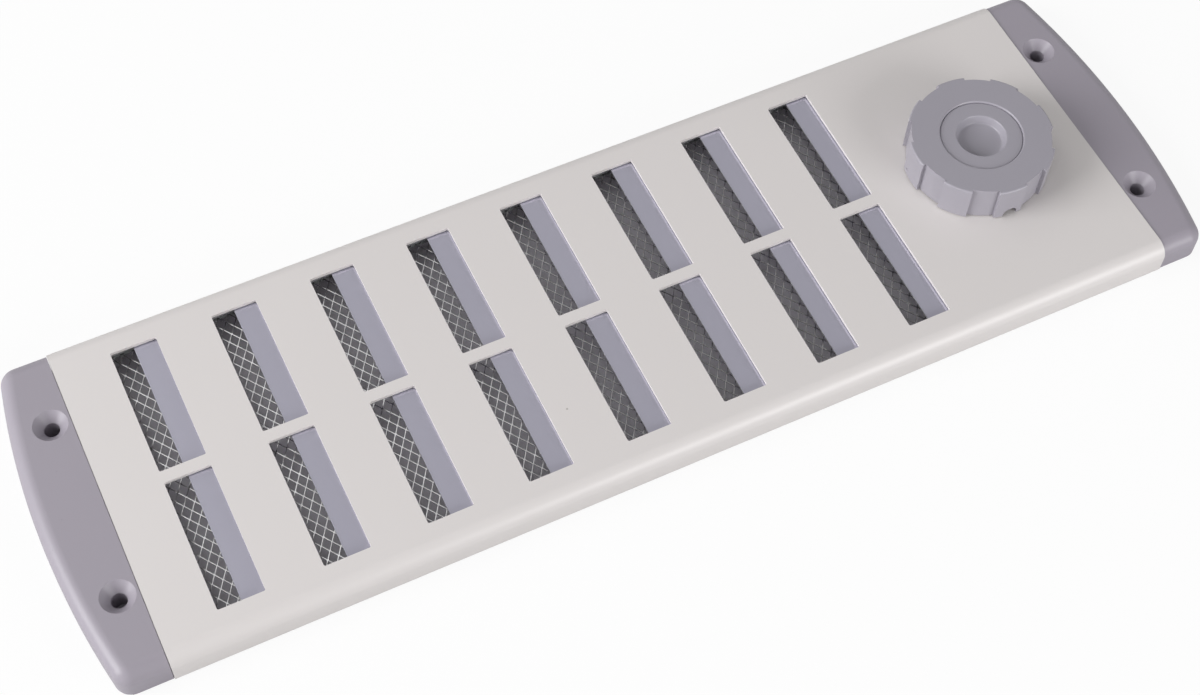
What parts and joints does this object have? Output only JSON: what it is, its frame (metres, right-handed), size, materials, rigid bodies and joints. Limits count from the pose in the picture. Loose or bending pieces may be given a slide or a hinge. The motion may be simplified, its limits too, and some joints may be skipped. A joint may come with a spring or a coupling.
{
  "type": "sliding vent grille",
  "caption": "Closable vent grille: slotted channel cover with plastic end caps, a sliding shutter worked by a round knob through rack and pinion, and an insect screen behind.",
  "frame": {"origin": "middle of the back face, which lies on the wall", "axes": "+X along the cover towards the knob end, +Y across the cover, +Z out of the wall towards the knob's face"},
  "size_m": [0.348, 0.105, 0.0224],
  "materials": {
    "cover_coat": "satin warm white powder coat",
    "cap_plastic": "fine matt moulded, grey with a lilac cast",
    "knob_plastic": "satin moulded",
    "shutter_sheet": "bright grey anodised",
    "screen_mesh": "bright expanded sheet",
    "screen_frame": "mill finish, folded",
    "zinc_steel": "zinc plated",
    "bearing_plastic": "natural acetal",
    "bright_steel": "ground"
  },
  "bodies": {
    "housing": {"cover": "cover_coat", "left_end_cap": "cap_plastic", "right_end_cap": "cap_plastic", "mesh_frame": "screen_frame", "wire_mesh": "screen_mesh", "bearing_bridge": "zinc_steel", "upper_bush": "bearing_plastic", "lower_bush": "bearing_plastic", "retaining_screws": "zinc_steel"},
    "knob_drive": {"knob": "knob_plastic", "knob_cap": "knob_plastic", "knob_screw": "zinc_steel", "screw_washer": "zinc_steel", "drive_shaft": "bright_steel", "pinion_gear": "bearing_plastic", "disc_spring": "bright_steel", "retaining_clip": "bright_steel"},
    "shutter": {"shutter_plate": "shutter_sheet", "shutter_glides": "bearing_plastic", "rack": "bearing_plastic", "rack_rivets": "zinc_steel"}
  },
  "joints": [
    {"name": "knob_turn", "type": "hinge", "parent": "housing", "child": "knob_drive", "pos_m": [0.1197, 0, 0.01], "axis": [0, 0, 1], "range_deg": [-49.8, 40.8]},
    {"name": "shutter_slide", "type": "slide", "parent": "housing", "child": "shutter", "axis": [1, 0, 0], "range_m": [-0.00825, 0.00675]}
  ],
  "couplings": [
    {"joint": "knob_turn", "follows": "shutter_slide", "rad_per_m": 105.26}
  ]
}
